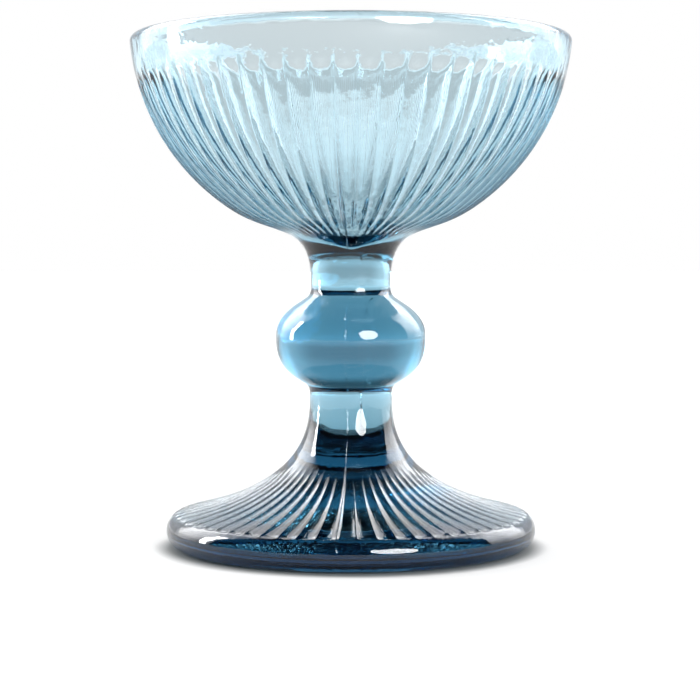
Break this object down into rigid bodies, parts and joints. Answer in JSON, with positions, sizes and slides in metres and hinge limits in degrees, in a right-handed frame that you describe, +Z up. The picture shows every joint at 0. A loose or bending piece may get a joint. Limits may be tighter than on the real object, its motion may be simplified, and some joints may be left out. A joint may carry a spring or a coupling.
{
  "type": "martini glass",
  "caption": "Stemmed cocktail glass in tinted blue pressed glass: ribbed round bowl, short stem with a bulb, and a domed ribbed foot with a thick rounded rim.",
  "frame": {"origin": "centre of the foot, on the surface that the glass stands on", "axes": "+Z up along the axis of the glass; the mould seam is on the -Y side"},
  "size_m": [0.0994, 0.0994, 0.1155],
  "materials": {
    "blue_glass": "clear tinted blue, glossy"
  },
  "bodies": {
    "root": {"bowl": "blue_glass", "upper_stem": "blue_glass", "knop": "blue_glass", "lower_stem": "blue_glass", "foot": "blue_glass"}
  },
  "joints": []
}
